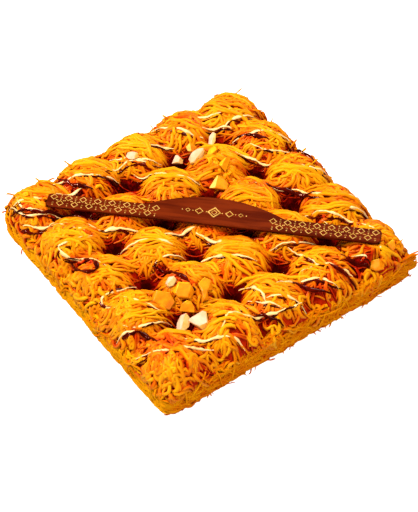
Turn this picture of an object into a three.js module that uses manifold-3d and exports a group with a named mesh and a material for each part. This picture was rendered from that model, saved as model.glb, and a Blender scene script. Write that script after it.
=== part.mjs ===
// A square slab of cream puffs baked in shredded pastry, five mounds by five, with
// sauce in the hollows, piped drizzle, chopped almonds and a chocolate plaque laid
// across the tops. Millimetres, +Z up, origin under the middle of the slab.

import * as THREE from 'three';
import { mergeVertices } from 'three/addons/utils/BufferGeometryUtils.js';
import Module from 'manifold-3d';

const wasm = await Module();
wasm.setup();

// Driving dimensions
const MOUNDS = 5;
const PITCH = 52;
const HALF = (MOUNDS * PITCH) / 2;
const WALL_HEIGHT = 27;
const PIT_HEIGHT = 16;
const MOUND_TOP = 45.5;
const MOUND_REACH = 1.19;
const OUTER_REACH = 1.17;
const TOUCH_GAP = 0.3;

// A mound's form: how square it is seen from above, and how full at its shoulders
const PLAN_POWER = 2.12;
const SHOULDER_POWER = 2.2;
const FULLNESS = 0.5;
const MOUND_SHIFT = 1.5;

// How far the mounds of the two back rows stand from their regular places
const BACK_LEFT_LEAN = [-4, -5, -3, -4, 5];
const BACK_RIGHT_LEAN = [-5, -1, 0, 0, 0];
const BACK_LEFT_BULGE = 2;
const FRONT_RIGHT_BULGE = 2.5;
const CORNER_PULL = 2;
const CORNER_POWER = 12;

// Shredded pastry: the ridges pressed into the surface, and the loose bundles on it
const CELLS_PER_MOUND = 8;
const RIDGE_RELIEF = 0.9;
const PLACE_JITTER = 0.7;
const BUNDLE_WIDTH = 3.4;
const BUNDLE_STEPS = 5;
const BUNDLE_LIFT = 0.9;
const BRIDGE_LIFT = 2.4;
const BUNDLES_PER_MOUND = 1;
const BRIDGES = 5;
const SIDE_BUNDLES = 2;
const WISPS_PER_SIDE = 2;
const SINK = 1.4;

// The wall, from the foot to just under the rim
const WALL_LEVELS = [
  { z: 0, out: 0.6 },
  { z: 8, out: 1.8 },
  { z: 17, out: 0.9 },
];

// Piped drizzle: each stroke's turning points on the slab, seen from above
const DRIZZLE_WIDTH = 3;
const DRIZZLE_STEP = 9;
const DRIZZLE_STROKES = [
  [[-112, -124], [-99, -123], [-92, -113], [-80, -100]],
  [[-40, -98], [-42, -112], [-47, -125], [-33, -122], [-23, -108], [-4, -102]],
  [[26, -78], [24, -97], [20, -112], [20, -124], [32, -122]],
  [[74, -88], [71, -104], [68, -118]],
  [[95, -126], [104, -118], [112, -104], [119, -84]],
  [[105, -89], [116, -68], [124, -58], [127, -45]],
  [[113, -36], [116, -22], [123, -12], [126, 6]],
  [[107, -9], [116, 3], [126, 12]],
  [[102, 13], [106, 26], [113, 40], [124, 45]],
  [[102, 42], [111, 54], [124, 66]],
  [[117, 85], [125, 100], [118, 104], [110, 97]],
  [[39, -23], [48, -15], [62, 3]],
  [[-115, -78], [-107, -62], [-97, -46], [-90, -32]],
  [[-80, -12], [-58, 4], [-45, 21]],
  [[-65, 86], [-54, 104], [-38, 121]],
  [[-4, 63], [20, 92], [40, 98], [56, 119]],
  [[52, 82], [73, 101], [93, 109]],
];

// Chocolate plaque, along the diagonal and across it towards the front corner
const PLAQUE = {
  left: -140,
  right: 157,
  front: 13,
  endWidth: 16,
  cornerRadius: 3.5,
  bow: 16.5,
  bowCentre: 9.5,
  bowHalf: 62,
  underside: 46.6,
  thickness: 3.6,
  bevel: 0.8,
};

// Outlines of the chopped almonds, in parts of their length and width
const OUTLINES = {
  half: [
    [-0.5, -0.1], [-0.3, -0.42], [0.05, -0.5], [0.35, -0.3],
    [0.5, 0], [0.3, 0.35], [0, 0.5], [-0.35, 0.38],
  ],
  chunk: [[-0.5, -0.2], [-0.15, -0.5], [0.4, -0.4], [0.5, 0.1], [0.2, 0.5], [-0.35, 0.4]],
  wedge: [[-0.5, -0.35], [0.45, -0.5], [0.5, -0.1], [0.08, 0.5], [-0.12, 0.48]],
  notched: [
    [-0.5, 0], [-0.25, -0.5], [0.1, -0.3], [0.5, -0.4],
    [0.42, 0.05], [0.1, 0.1], [0, 0.5], [-0.35, 0.4],
  ],
  dome: [[-0.5, -0.4], [0.5, -0.4], [0.45, 0.05], [0.2, 0.42], [-0.1, 0.5], [-0.42, 0.15]],
};

// Each almond: its middle, its sizes, its heading from +X and its lean towards the front
const ALMONDS = [
  { outline: 'chunk', at: [46, -67, 45.5], size: [11, 7.5, 4.5], heading: 107, lean: 10 },
  { outline: 'chunk', at: [61, -64, 46], size: [18, 15, 5.5], heading: 40, lean: 22 },
  { outline: 'notched', at: [69.5, -47, 43.5], size: [23, 13, 4.5], heading: -30, lean: 14 },
  { outline: 'chunk', at: [53, -81, 38], size: [22, 16, 4.5], heading: 35, lean: 30 },
  { outline: 'dome', at: [73.5, -69, 40], size: [13, 11, 5], heading: 45, lean: 24 },
  { outline: 'half', at: [82, -80, 33.5], size: [20, 11, 4.5], heading: -60, lean: 16 },
  { outline: 'wedge', at: [90, -67.5, 38.5], size: [18, 16, 4.5], heading: 25, lean: 12 },
  { outline: 'chunk', at: [-80, 43.5, 40], size: [11, 9, 4.5], heading: 20, lean: 20 },
  { outline: 'half', at: [-68.5, 41, 40.5], size: [20, 11, 4.5], heading: 106, lean: 14 },
  { outline: 'chunk', at: [-62, 53.5, 42], size: [15, 9, 4.5], heading: 120, lean: 12 },
  { outline: 'chunk', at: [-78, 65, 41], size: [15, 7, 4], heading: 135, lean: 10 },
  { outline: 'wedge', at: [-83, 29, 31], size: [11, 9, 4], heading: 60, lean: 20 },
  { outline: 'half', at: [-100, -8, 45], size: [13, 8, 3.5], heading: 55, lean: 8 },
  { outline: 'wedge', at: [-41, 52, 46], size: [15, 9, 4], heading: 130, lean: 24 },
  { outline: 'wedge', at: [-30.5, 39, 38], size: [18, 15, 4.5], heading: 50, lean: 26 },
  { outline: 'wedge', at: [121, 114, 41.5], size: [10, 9, 4], heading: 20, lean: 20 },
  { outline: 'chunk', at: [127, 94, 33], size: [13, 11, 4], heading: 60, lean: 40 },
];
const ALMOND_BEVEL = 0.9;

const DIAGONAL = new THREE.Vector2(1, 1).normalize();
const ACROSS = new THREE.Vector2(1, -1).normalize();
const UP = new THREE.Vector3(0, 0, 1);

// A repeatable number between 0 and 1 for each whole number
function draw(n) {
  const value = Math.sin(n * 12.9898) * 43758.5453;
  return value - Math.floor(value);
}

function spread(n, amount) {
  return (draw(n) * 2 - 1) * amount;
}

// Mounds, uneven in place, height and width
const mounds = [];
for (let i = 0; i < MOUNDS; i += 1) {
  for (let j = 0; j < MOUNDS; j += 1) {
    const seed = 10 + i * MOUNDS + j;
    const leanX = i === 0 ? BACK_LEFT_LEAN[j] : 0;
    const leanY = j === MOUNDS - 1 ? BACK_RIGHT_LEAN[i] : 0;
    mounds.push({
      x: (i + 0.5) * PITCH - HALF + leanX + spread(seed, MOUND_SHIFT),
      y: (j + 0.5) * PITCH - HALF + leanY + spread(seed + 40, MOUND_SHIFT),
      edgeX: i === 0 ? -1 : Number(i === MOUNDS - 1),
      edgeY: j === 0 ? -1 : Number(j === MOUNDS - 1),
      top: MOUND_TOP + spread(seed + 80, 0.9),
      reach: (PITCH / 2) * (MOUND_REACH + spread(seed + 120, 0.04)),
    });
  }
}

// Height of the crust over a point: the highest of the domes, or the level of the pits
function crustHeight(x, y) {
  let height = PIT_HEIGHT;
  for (const mound of mounds) {
    const fullX = (x - mound.x) * mound.edgeX > 0 ? OUTER_REACH : 1;
    const fullY = (y - mound.y) * mound.edgeY > 0 ? OUTER_REACH : 1;
    const a = Math.abs(x - mound.x) / (mound.reach * fullX);
    const b = Math.abs(y - mound.y) / (mound.reach * fullY);
    const r = (a ** PLAN_POWER + b ** PLAN_POWER) ** (1 / PLAN_POWER);
    const dome = Math.max(0, 1 - r ** SHOULDER_POWER) ** FULLNESS;
    height = Math.max(height, PIT_HEIGHT + (mound.top - PIT_HEIGHT) * dome);
  }
  return height;
}

// A point of the square as it lies: two sides bulge and the corners are pulled in
function laid(x, y) {
  const backLeft = BACK_LEFT_BULGE * Math.cos((y / HALF) * (Math.PI / 2)) * (x / HALF) ** 2;
  const frontRight = FRONT_RIGHT_BULGE * (x / HALF) ** 4;
  const corner = CORNER_PULL * (Math.abs(x * y) / HALF ** 2) ** CORNER_POWER;
  return new THREE.Vector2(
    x + (x < 0 ? -backLeft : frontRight) - Math.sign(x) * corner,
    y - Math.sign(y) * corner,
  );
}

// Booleans on closed three.js geometry
function toSolid(geometry) {
  const bare = geometry.clone();
  bare.deleteAttribute('normal');
  bare.deleteAttribute('uv');
  const merged = mergeVertices(bare, 1e-4);
  return new wasm.Manifold(new wasm.Mesh({
    numProp: 3,
    vertProperties: new Float32Array(merged.attributes.position.array),
    triVerts: new Uint32Array(merged.index.array),
  }));
}

// The largest connected skin of a solid: scraps and sealed hollows are left behind
function toGeometry(solid) {
  const mesh = solid.getMesh();
  const parent = Array.from({ length: mesh.vertProperties.length / 3 }, (_, n) => n);
  const root = (n) => {
    let at = n;
    while (parent[at] !== at) {
      parent[at] = parent[parent[at]];
      at = parent[at];
    }
    return at;
  };
  for (let n = 0; n < mesh.triVerts.length; n += 3) {
    const first = root(mesh.triVerts[n]);
    parent[root(mesh.triVerts[n + 1])] = first;
    parent[root(mesh.triVerts[n + 2])] = first;
  }
  const skins = new Map();
  for (let n = 0; n < mesh.triVerts.length; n += 3) {
    const skin = root(mesh.triVerts[n]);
    if (!skins.has(skin)) skins.set(skin, []);
    skins.get(skin).push(mesh.triVerts[n], mesh.triVerts[n + 1], mesh.triVerts[n + 2]);
  }
  const largest = [...skins.values()].sort((a, b) => b.length - a.length)[0];
  const geometry = new THREE.BufferGeometry();
  geometry.setAttribute('position', new THREE.BufferAttribute(mesh.vertProperties, 3));
  geometry.setIndex(largest);
  const loose = geometry.toNonIndexed();
  loose.computeVertexNormals();
  return loose;
}

// The crust: a square grid raised to the mounds, ridged along the diagonal as the
// pastry strands lie, with a wall down to the flat foot
function crust() {
  const cells = MOUNDS * CELLS_PER_MOUND;
  const step = (2 * HALF) / cells;
  const points = [];
  const triangles = [];
  const at = (i, j) => i * (cells + 1) + j;
  for (let i = 0; i <= cells; i += 1) {
    for (let j = 0; j <= cells; j += 1) {
      const seed = at(i, j) * 3;
      const edge = i === 0 || j === 0 || i === cells || j === cells;
      const jitter = edge ? 0 : PLACE_JITTER;
      const place = laid(i * step - HALF, j * step - HALF);
      const x = place.x + spread(seed, jitter);
      const y = place.y + spread(seed + 1, jitter);
      const ridge = ((i - j + cells) % 2 ? 1 : -1) * RIDGE_RELIEF * (0.5 + draw(seed + 2));
      const rim = WALL_HEIGHT + spread(seed, 1.5);
      points.push(x, y, edge ? Math.min(rim, crustHeight(x, y)) : crustHeight(x, y) + ridge);
    }
  }
  for (let i = 0; i < cells; i += 1) {
    for (let j = 0; j < cells; j += 1) {
      triangles.push(at(i, j), at(i + 1, j), at(i + 1, j + 1));
      triangles.push(at(i, j), at(i + 1, j + 1), at(i, j + 1));
    }
  }
  const rim = [];
  for (let n = 0; n < cells; n += 1) rim.push(at(n, 0));
  for (let n = 0; n < cells; n += 1) rim.push(at(cells, n));
  for (let n = cells; n > 0; n -= 1) rim.push(at(n, cells));
  for (let n = cells; n > 0; n -= 1) rim.push(at(0, n));
  let upper = rim;
  for (let level = WALL_LEVELS.length - 1; level >= 0; level -= 1) {
    const { z, out } = WALL_LEVELS[level];
    const lower = rim.map((n, k) => {
      const x = points[n * 3];
      const y = points[n * 3 + 1];
      const push = 1 + (out + (level ? spread(k * 5 + level, 0.6) : 0)) / HALF;
      points.push(x * push, y * push, z + (level ? spread(k * 9 + level, 1.6) : 0));
      return points.length / 3 - 1;
    });
    upper.forEach((n, k) => {
      const next = (k + 1) % rim.length;
      triangles.push(n, lower[k], upper[next], upper[next], lower[k], lower[next]);
    });
    upper = lower;
  }
  points.push(0, 0, 0);
  const middle = points.length / 3 - 1;
  upper.forEach((n, k) => triangles.push(n, middle, upper[(k + 1) % rim.length]));
  const geometry = new THREE.BufferGeometry();
  geometry.setAttribute('position', new THREE.Float32BufferAttribute(points, 3));
  geometry.setIndex(triangles);
  return toSolid(geometry);
}

// A bundle of strands or a rope of drizzle: a three-sided section swept along a curve
function rope(points, width, steps) {
  const corners = [0, 1, 2].map((k) => {
    const turn = (k * Math.PI * 2) / 3;
    return new THREE.Vector2(Math.cos(turn), Math.sin(turn)).multiplyScalar(width / 2);
  });
  const section = new THREE.Shape(corners);
  const path = new THREE.CatmullRomCurve3(points);
  return toSolid(new THREE.ExtrudeGeometry(section, { steps, extrudePath: path }));
}

// A bundle draped on the crust along a chord, sunk at both ends and raised between
function drapedBundle(start, end, lift, bend) {
  const points = [];
  const side = new THREE.Vector2(start.y - end.y, end.x - start.x).normalize();
  for (let n = 0; n <= BUNDLE_STEPS; n += 1) {
    const part = n / BUNDLE_STEPS;
    const arch = Math.sin(part * Math.PI);
    const place = start.clone().lerp(end, part).addScaledVector(side, bend * arch);
    const height = crustHeight(place.x, place.y) + lift * arch - SINK * (1 - arch);
    points.push(new THREE.Vector3(place.x, place.y, height));
  }
  return rope(points, BUNDLE_WIDTH, BUNDLE_STEPS);
}

// Bundles draped over each mound, roughly along the diagonal
function moundBundles() {
  const ropes = [];
  mounds.forEach((mound, m) => {
    for (let k = 0; k < BUNDLES_PER_MOUND; k += 1) {
      const seed = 1000 + m * 17 + k * 5;
      const turn = Math.PI / 4 + spread(seed, 0.35);
      const reach = 15 + draw(seed + 1) * 6;
      const offset = (k - (BUNDLES_PER_MOUND - 1) / 2) * 12 + spread(seed + 2, 4);
      const middle = new THREE.Vector2(mound.x, mound.y).addScaledVector(ACROSS, offset);
      const heading = new THREE.Vector2(Math.cos(turn), Math.sin(turn)).multiplyScalar(reach);
      const start = middle.clone().sub(heading);
      const end = middle.clone().add(heading);
      ropes.push(drapedBundle(start, end, BUNDLE_LIFT, spread(seed + 3, 5)));
    }
  });
  return ropes;
}

// Bundles that cross from one mound to the next over the dip between them
function bridgeBundles() {
  const ropes = [];
  for (let k = 0; k < BRIDGES; k += 1) {
    const seed = 3000 + k * 13;
    const i = Math.floor(draw(seed) * (MOUNDS - 1));
    const j = Math.floor(draw(seed + 1) * MOUNDS);
    const swap = draw(seed + 2) > 0.5;
    const from = mounds[swap ? j * MOUNDS + i : i * MOUNDS + j];
    const to = mounds[swap ? j * MOUNDS + i + 1 : (i + 1) * MOUNDS + j];
    const shift = spread(seed + 3, 13);
    const start = new THREE.Vector2(from.x, from.y).lerp(new THREE.Vector2(to.x, to.y), 0.25);
    const end = new THREE.Vector2(from.x, from.y).lerp(new THREE.Vector2(to.x, to.y), 0.75);
    const aside = new THREE.Vector2(to.y - from.y, from.x - to.x).normalize().multiplyScalar(shift);
    ropes.push(drapedBundle(start.add(aside), end.add(aside), BRIDGE_LIFT, spread(seed + 4, 4)));
  }
  return ropes;
}

// Bundles pressed along the foot and the face of each wall
function wallBundles() {
  const ropes = [];
  for (let k = 0; k < 4 * SIDE_BUNDLES; k += 1) {
    const seed = 5000 + k * 11;
    const turn = (Math.floor(k / SIDE_BUNDLES) * Math.PI) / 2;
    const from = ((k % SIDE_BUNDLES) + 0.3 + draw(seed) * 0.4) / SIDE_BUNDLES;
    const level = 6 + draw(seed + 1) * 15;
    const points = [];
    for (let n = 0; n <= BUNDLE_STEPS; n += 1) {
      const part = n / BUNDLE_STEPS - 0.5;
      const along = (from * 2 - 1) * HALF + part * 34;
      const place = laid(HALF, along);
      const x = place.x + 2.2 - 12 * part ** 2;
      const z = level + 8 * part * spread(seed + 2, 1);
      points.push(new THREE.Vector3(x, place.y, z).applyAxisAngle(UP, turn));
    }
    ropes.push(rope(points, BUNDLE_WIDTH, BUNDLE_STEPS));
  }
  return ropes;
}

// Loose ends that stick out past the rim
function wisps() {
  const ropes = [];
  for (let k = 0; k < 4 * WISPS_PER_SIDE; k += 1) {
    const seed = 7000 + k * 19;
    const turn = (Math.floor(k / WISPS_PER_SIDE) * Math.PI) / 2;
    const place = ((k % WISPS_PER_SIDE) + draw(seed)) / WISPS_PER_SIDE;
    const along = (place * 2 - 1) * HALF * 0.9;
    const slant = spread(seed + 1, 14);
    const start = new THREE.Vector3(HALF - 6, along, WALL_HEIGHT + 2);
    const middle = new THREE.Vector3(HALF + 2, along + slant / 2, WALL_HEIGHT - 2 + spread(seed + 2, 5));
    const end = new THREE.Vector3(HALF + 7, along + slant, WALL_HEIGHT - 8 + spread(seed + 3, 8));
    const points = [start, middle, end].map((point) => point.applyAxisAngle(UP, turn));
    ropes.push(rope(points, BUNDLE_WIDTH * 0.8, 3));
  }
  return ropes;
}

// Thick ropes of piped drizzle, half sunk in the crust
function drizzleRopes() {
  return DRIZZLE_STROKES.map((stroke) => {
    const plan = new THREE.CatmullRomCurve3(stroke.map(([x, y]) => new THREE.Vector3(x, y, 0)));
    const steps = Math.max(3, Math.round(plan.getLength() / DRIZZLE_STEP));
    const points = plan.getSpacedPoints(steps).map((point, n) => {
      const rise = n === 0 || n === steps ? -0.6 : 1.1;
      return new THREE.Vector3(point.x, point.y, crustHeight(point.x, point.y) + rise);
    });
    return rope(points, DRIZZLE_WIDTH, steps);
  });
}

// The plaque's outline, its front edge straight and its back edge bowed in the middle
function plaqueGeometry(gap, rise) {
  const { left, right, front, endWidth, cornerRadius: r } = PLAQUE;
  const { bow, bowCentre, bowHalf, thickness, bevel } = PLAQUE;
  const back = endWidth - front;
  const shape = new THREE.Shape();
  shape.moveTo(left + r, -front);
  shape.lineTo(right - r, -front);
  shape.quadraticCurveTo(right, -front, right, -front + r);
  shape.lineTo(right, back - r);
  shape.quadraticCurveTo(right, back, right - r, back);
  shape.lineTo(bowCentre + bowHalf, back);
  shape.quadraticCurveTo(bowCentre, back + 2 * bow, bowCentre - bowHalf, back);
  shape.lineTo(left + r, back);
  shape.quadraticCurveTo(left, back, left, back - r);
  shape.lineTo(left, -front + r);
  shape.quadraticCurveTo(left, -front, left + r, -front);
  return new THREE.ExtrudeGeometry(shape, {
    depth: thickness + 2 * gap + rise - 2 * bevel,
    curveSegments: 10,
    bevelEnabled: true,
    bevelThickness: bevel,
    bevelSize: bevel,
    bevelOffset: gap - bevel,
    bevelSegments: 1,
  }).translate(0, 0, bevel - gap);
}

// An almond lying flat at the origin, and grown by a gap where it is used to cut
function almondGeometry({ outline, size: [length, width, thick] }, gap) {
  const corners = OUTLINES[outline].map(([u, v]) => new THREE.Vector2(u * length, v * width));
  return new THREE.ExtrudeGeometry(new THREE.Shape(corners), {
    depth: thick + 2 * gap - 2 * ALMOND_BEVEL,
    bevelEnabled: true,
    bevelThickness: ALMOND_BEVEL,
    bevelSize: ALMOND_BEVEL,
    bevelOffset: gap - ALMOND_BEVEL,
    bevelSegments: 1,
  }).translate(0, 0, ALMOND_BEVEL - thick / 2 - gap);
}

// Where an almond lies: turned to its heading, then leant towards the front corner
function almondMatrix({ at, heading, lean }) {
  const towardsViewer = new THREE.Vector3(DIAGONAL.x, DIAGONAL.y, 0);
  const leant = new THREE.Matrix4().makeRotationAxis(towardsViewer, THREE.MathUtils.degToRad(lean));
  const turned = new THREE.Matrix4().makeRotationZ(THREE.MathUtils.degToRad(heading));
  return new THREE.Matrix4().makeTranslation(...at).multiply(leant).multiply(turned);
}

const plaqueMatrix = new THREE.Matrix4()
  .makeTranslation(0, 0, PLAQUE.underside)
  .multiply(new THREE.Matrix4().makeRotationZ(Math.PI / 4));

// The slab's pastry with everything that is stuck to it, cut clear of what lies on it
function pastrySlab() {
  let solid = crust();
  const bundles = [...moundBundles(), ...bridgeBundles(), ...wallBundles(), ...wisps()];
  for (const piece of [...bundles, ...drizzleRopes()]) solid = solid.add(piece);
  const above = 12;
  solid = solid.subtract(toSolid(plaqueGeometry(TOUCH_GAP, above).applyMatrix4(plaqueMatrix)));
  for (const almond of ALMONDS) {
    const seat = almondGeometry(almond, TOUCH_GAP).applyMatrix4(almondMatrix(almond));
    solid = solid.subtract(toSolid(seat));
  }
  return solid;
}

function part(name, geometry, material, matrix) {
  const mesh = new THREE.Mesh(geometry, material);
  mesh.name = name;
  if (matrix) matrix.decompose(mesh.position, mesh.quaternion, mesh.scale);
  return mesh;
}

const crustMaterial = new THREE.MeshStandardMaterial({ color: 0xf09010, roughness: 0.5, metalness: 0 });
const plaqueMaterial = new THREE.MeshStandardMaterial({ color: 0x6e2c08, roughness: 0.35, metalness: 0 });
const almondMaterial = new THREE.MeshStandardMaterial({ color: 0xf7d98c, roughness: 0.5, metalness: 0 });

const slab = new THREE.Group();
slab.add(part('pastry_slab', toGeometry(pastrySlab()), crustMaterial));
slab.add(part('plaque', plaqueGeometry(0, 0), plaqueMaterial, plaqueMatrix));
ALMONDS.forEach((almond, n) => {
  const name = `almond_${String(n + 1).padStart(2, '0')}`;
  slab.add(part(name, almondGeometry(almond, 0), almondMaterial, almondMatrix(almond)));
});

// The origin goes under the middle of the finished slab
const bounds = new THREE.Box3().setFromObject(slab);
const middle = bounds.getCenter(new THREE.Vector3());
slab.position.set(-middle.x, -middle.y, -bounds.min.z);

export default slab;
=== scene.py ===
# %% [markdown]
# A slab of cream puffs baked in shredded pastry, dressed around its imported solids.
# The solids give the true size: a square slab of five by five mounds, a chocolate
# plaque laid across the tops, and chopped almonds. Each of them gets its fine surface
# here: thousands of pastry strands, glossy sauce, piped drizzle and a gold print.

# %% Tools and the fixed frame
import math

import bmesh
import bpy
import numpy as np
from mathutils import Matrix, Vector
from mathutils.bvhtree import BVHTree


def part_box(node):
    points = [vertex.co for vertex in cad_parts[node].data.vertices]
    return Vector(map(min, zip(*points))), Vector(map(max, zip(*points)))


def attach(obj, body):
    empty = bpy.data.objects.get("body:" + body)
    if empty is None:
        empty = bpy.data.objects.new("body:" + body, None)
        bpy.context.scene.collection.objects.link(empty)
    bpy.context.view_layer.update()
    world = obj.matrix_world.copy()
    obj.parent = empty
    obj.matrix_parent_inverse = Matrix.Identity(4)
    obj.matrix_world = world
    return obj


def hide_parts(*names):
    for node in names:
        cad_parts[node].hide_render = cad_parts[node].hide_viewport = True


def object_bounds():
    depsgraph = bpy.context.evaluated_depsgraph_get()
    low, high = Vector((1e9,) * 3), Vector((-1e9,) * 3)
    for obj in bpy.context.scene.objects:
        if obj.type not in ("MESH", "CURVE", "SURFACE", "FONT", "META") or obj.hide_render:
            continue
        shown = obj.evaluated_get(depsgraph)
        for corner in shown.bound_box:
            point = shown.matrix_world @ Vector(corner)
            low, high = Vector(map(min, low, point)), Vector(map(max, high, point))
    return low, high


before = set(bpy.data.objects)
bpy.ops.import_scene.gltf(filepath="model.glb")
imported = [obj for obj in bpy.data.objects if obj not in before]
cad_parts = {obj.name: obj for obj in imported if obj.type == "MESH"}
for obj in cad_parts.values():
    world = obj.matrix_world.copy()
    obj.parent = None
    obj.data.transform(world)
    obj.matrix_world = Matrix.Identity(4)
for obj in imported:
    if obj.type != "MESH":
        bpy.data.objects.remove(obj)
cad_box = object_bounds()
scene = bpy.context.scene
MM = 0.001
BOX_LOW, BOX_HIGH = np.array(cad_box) / MM
print("the solids reach from", BOX_LOW.round(1), "to", BOX_HIGH.round(1), "mm")

# %% [markdown]
# The photograph fixes a few driving sizes. The mounds stand 52 mm apart, five each
# way, and a strand's usual radius is 1.25 mm. Strands, drizzle and plaque lie along
# the diagonal, from the slab's left corner to its right corner. Every random draw but
# the almonds' comes from one generator with a fixed seed, so each run gives the same
# slab.

# %% Driving sizes, in millimetres
PITCH = 52.0
MOUNDS = 5
HALF = PITCH * MOUNDS / 2
STRAND = 1.25
DIAGONAL = math.radians(45)
TO_VIEWER = math.radians(-45)
ACROSS = np.array([math.cos(TO_VIEWER), math.sin(TO_VIEWER)])
SEED = 25
rng = np.random.default_rng(SEED)

# %% [markdown]
# The camera stands where the photographer stood, as worked out from the slab's four
# corners. A long lens keeps the far side nearly as large as the near one. The camera
# is turned about the vertical, then tilted up from looking straight down, and then
# rolled by about one degree.

# %% The camera
CAMERA_PLACE = (0.8198, -0.5635, 1.1091)
CAMERA_TURNS = ((55.26, "Z"), (41.69, "X"), (-1.13, "Z"))
CAMERA_LENS = 116.2

camera_data = bpy.data.cameras.new("camera")
camera_data.lens = CAMERA_LENS
camera = bpy.data.objects.new("camera", camera_data)
stand = Matrix.Translation(CAMERA_PLACE)
for degrees, about in CAMERA_TURNS:
    stand = stand @ Matrix.Rotation(math.radians(degrees), 4, about)
camera.matrix_world = stand
scene.collection.objects.link(camera)
scene.camera = camera

# %% [markdown]
# Whatever lies on the crust needs its height at every point. One could shrinkwrap
# each strand, but rays cast down on the solid give one height map that all the later
# steps share. It is smoothed over a few millimetres, so that a bundle fused to the
# solid doesn't lift what is laid on it. A second map holds the undersides of the
# plaque and the almonds: strands pass below them.

# %% Height maps of the crust and of what lies on it
CELL = 2.0
MAP_HALF = 140.0
RIM_LEVEL = 24.0
LOWEST_CRUST = 12
OPEN_SKY = 60.0
axis = np.arange(-MAP_HALF, MAP_HALF + CELL, CELL)
grid_x, grid_y = np.meshgrid(axis, axis, indexing="ij")


def tree_of(*names):
    corners = []
    faces = []
    for name in names:
        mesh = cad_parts[name].data
        first = len(corners)
        corners.extend(v.co[:] for v in mesh.vertices)
        faces.extend([first + k for k in p.vertices] for p in mesh.polygons)
    return BVHTree.FromPolygons(corners, faces)


def ray_map(tree, start, way):
    """The height at which a vertical ray meets the surface, for each cell."""
    grid = np.full((len(axis), len(axis)), np.nan)
    for a, x in enumerate(axis):
        for b, y in enumerate(axis):
            hit = tree.ray_cast(Vector((x * MM, y * MM, start)), Vector((0, 0, way)))[0]
            if hit is not None:
                grid[a, b] = hit.z / MM
    return grid


def blur(grid, times):
    for _ in range(times):
        for way in (0, 1):
            grid = 0.25 * np.roll(grid, 1, way) + 0.5 * grid + 0.25 * np.roll(grid, -1, way)
    return grid


def soften(grid, known, times):
    """Blur the known cells only, and put the rim's level where none is near."""
    weight = blur(known.astype(float), times)
    total = blur(np.where(known, grid, 0.0), times)
    return np.where(weight > 0.02, total / np.maximum(weight, 0.02), RIM_LEVEL)


def with_neighbours(pick, grid, steps):
    """Give each cell the lowest or the highest value among itself and some neighbours."""
    result = grid
    for step in steps:
        result = pick(result, np.roll(grid, step, (0, 1)))
    return result


toppings = [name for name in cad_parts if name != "pastry_slab"]
slab_tree = tree_of("pastry_slab")
heights = ray_map(slab_tree, 0.2, -1)
on_slab = ~np.isnan(heights) & (heights > LOWEST_CRUST)
smooth = soften(heights, on_slab, 3)
taut = soften(heights, on_slab, 40)
lids = np.nan_to_num(ray_map(tree_of(*toppings), -0.1, 1), nan=OPEN_SKY)
bar = np.nan_to_num(ray_map(tree_of("plaque"), -0.1, 1), nan=OPEN_SKY)
ceiling = with_neighbours(np.minimum, lids, [(a, b) for a in (-1, 0, 1) for b in (-1, 0, 1)])
ceiling = np.minimum(ceiling, with_neighbours(np.minimum, bar, [(1, -1), (2, -2), (3, -3)]))
bar_shadow = blur((bar < OPEN_SKY).astype(float), 2)
print("crust from", heights[on_slab].min().round(1), "to", heights[on_slab].max().round(1), "mm high")


# %% Reading a map between its points
def sample(grid, x, y):
    u = np.clip((np.asarray(x) - axis[0]) / CELL, 0, len(axis) - 1.001)
    v = np.clip((np.asarray(y) - axis[0]) / CELL, 0, len(axis) - 1.001)
    i = u.astype(int)
    j = v.astype(int)
    low = grid[i, j] * (1 - v + j) + grid[i, j + 1] * (v - j)
    high = grid[i + 1, j] * (1 - v + j) + grid[i + 1, j + 1] * (v - j)
    return low * (1 - u + i) + high * (u - i)


def crust(x, y):
    return sample(smooth, x, y)


# %% [markdown]
# The walls need a map too. Rays from outside find the slab's outline at a level near
# the middle of the wall. Distance round the slab then works like the x of a long flat
# strip, and height like its y, so that strands can be laid out on the strip. Along the
# front left side the strands stand up to 3.4 mm further out.

# %% The outline of the slab
AROUND = 720
SIDE_LEVEL = 12.0
RAY_START = 0.3
SWELL_AT = (0, 210, 225, 250, 290, 305, 315, 324, 336, 360)
SWELL = (0, 0, 0.8, 1.4, 2.2, 2.8, 3.4, 1.6, 0, 0)
around_turn = np.arange(AROUND) * 2 * math.pi / AROUND
rim = []
for turn in around_turn:
    out = Vector((math.cos(turn), math.sin(turn), 0))
    start = out * RAY_START + Vector((0, 0, SIDE_LEVEL * MM))
    rim.append(slab_tree.ray_cast(start, -out)[0].xy.length / MM)
rim = np.median([np.roll(rim, k) for k in range(-4, 5)], axis=0)
rim = rim + np.interp(np.degrees(around_turn), SWELL_AT, SWELL)
rim_points = np.stack([rim * np.cos(around_turn), rim * np.sin(around_turn)], 1)
rim_loop = np.vstack([rim_points, rim_points[:1]])
rim_run = np.concatenate([[0], np.cumsum(np.linalg.norm(np.diff(rim_loop, axis=0), axis=1))])
PERIMETER = rim_run[-1]
print("once round the slab is", round(PERIMETER), "mm")


def rim_at(x, y):
    """How far the side is from the middle, in the direction of each point."""
    turn = np.arctan2(y, x) / (2 * math.pi) * AROUND % AROUND
    low = turn.astype(int) % AROUND
    return rim[low] * (1 - turn + low) + rim[(low + 1) % AROUND] * (turn - low)


def margin(x, y):
    """How far inside the side each point is."""
    return rim_at(x, y) - np.hypot(x, y)


def side_point(run):
    """The point of the side at a distance round the slab, and the way out there."""
    at = [np.interp((run + k) % PERIMETER, rim_run, rim_loop[:, c]) for c in (0, 1) for k in (-4, 0, 4)]
    dx = at[2] - at[0]
    dy = at[5] - at[3]
    size = np.hypot(dx, dy)
    return at[1], at[4], dy / size, -dx / size


def off_side(run, out, z):
    """Points at some distance round the slab, so far out from its side, and so high."""
    x, y, nx, ny = side_point(run)
    return np.stack([x + nx * out, y + ny * out, z], 1)


def pull_in(x, y, slack):
    """Draw points back to the rim, and tell how far past it they were."""
    beyond = np.maximum(0, slack - margin(x, y))
    pull = 1 - beyond / np.maximum(np.hypot(x, y), 1)
    return x * pull, y * pull, beyond


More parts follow.
